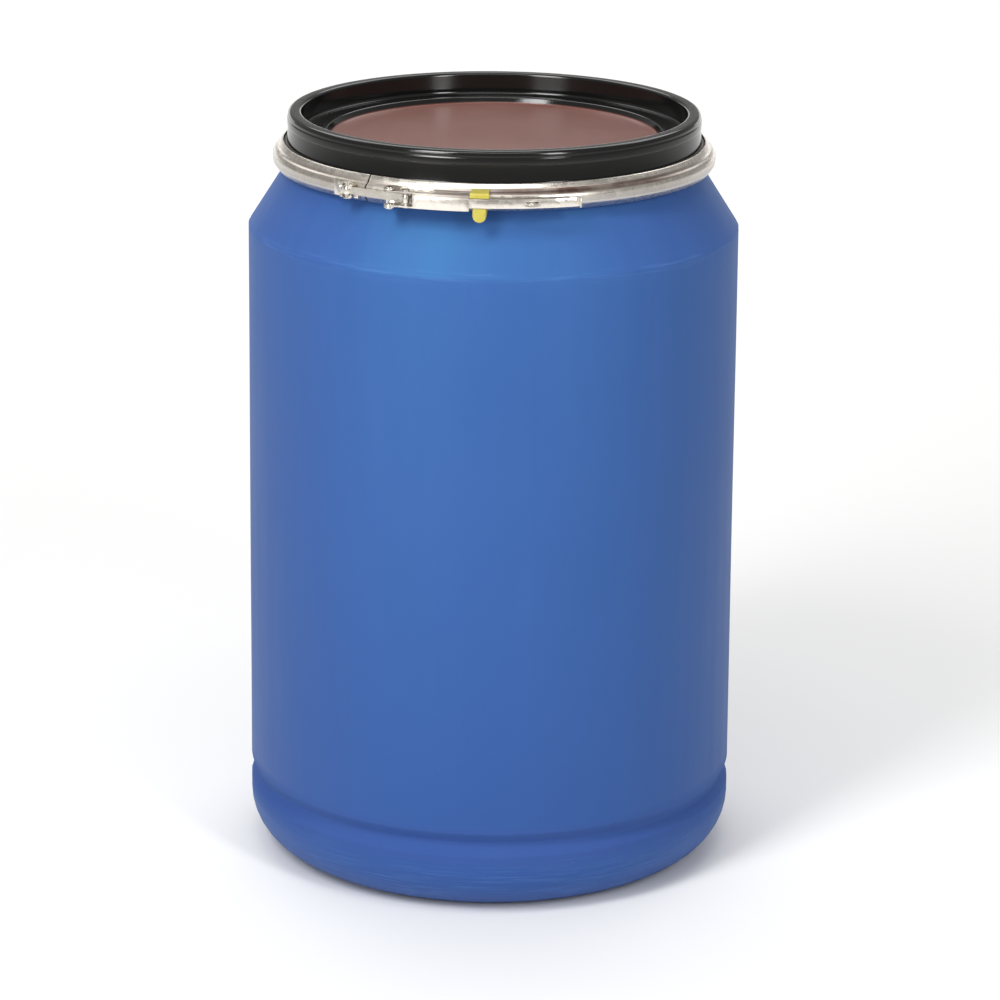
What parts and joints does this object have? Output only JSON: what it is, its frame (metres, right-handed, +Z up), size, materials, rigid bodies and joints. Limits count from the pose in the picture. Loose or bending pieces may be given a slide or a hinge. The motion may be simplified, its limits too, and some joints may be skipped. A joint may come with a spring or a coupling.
{
  "type": "plastic open head drum",
  "caption": "Tall round plastic drum with a conical shoulder, a recessed lid and a steel closing ring with a lever lock and a safety clip.",
  "frame": {"origin": "middle of the surface that the drum stands on, on the drum's axis", "axes": "+Z up along the drum's axis, -Y towards the closure, +X to the right seen from the closure"},
  "size_m": [0.59, 0.5899, 0.909],
  "materials": {
    "drum_plastic": "satin blue polyethylene",
    "lid_plastic": "glossy black polyethylene",
    "gasket_rubber": "soft foam rubber",
    "ring_steel": "bright galvanised sheet",
    "bracket_steel": "zinc plated sheet",
    "rivet_steel": "zinc plated",
    "clip_plastic": "bright yellow plastic"
  },
  "bodies": {
    "drum": {"drum_body": "drum_plastic"},
    "lid": {"lid": "lid_plastic", "lid_gasket": "gasket_rubber"},
    "ring": {"ring_band": "ring_steel", "band_rivets": "rivet_steel", "fulcrum_bracket": "bracket_steel", "lever_pivot_upper": "rivet_steel", "lever_pivot_lower": "rivet_steel", "anchor_bracket": "bracket_steel", "safety_clip": "clip_plastic", "seal_eye": "bracket_steel"},
    "lever": {"lever": "ring_steel", "link_pin": "rivet_steel"},
    "link": {"tension_link": "bracket_steel", "anchor_pin": "rivet_steel"}
  },
  "joints": [
    {"name": "lid_lift", "type": "slide", "parent": "drum", "child": "lid", "axis": [0, 0, 1], "range_m": [0, 0.3]},
    {"name": "ring_lift", "type": "slide", "parent": "lid", "child": "ring", "axis": [0, 0, 1], "range_m": [0, 0.2], "deforming": ["ring_band"]},
    {"name": "lever_swing", "type": "hinge", "parent": "ring", "child": "lever", "pos_m": [-0.11732, -0.25159, 0.857], "axis": [0, 0, -1], "range_deg": [0, 120]},
    {"name": "link_swing", "type": "hinge", "parent": "lever", "child": "link", "pos_m": [-0.09868, -0.25421, 0.857], "axis": [0, 0, -1], "range_deg": [-120, 0]}
  ],
  "couplings": [
    {"joint": "link_swing", "follows": "lever_swing", "ratio": -1}
  ]
}
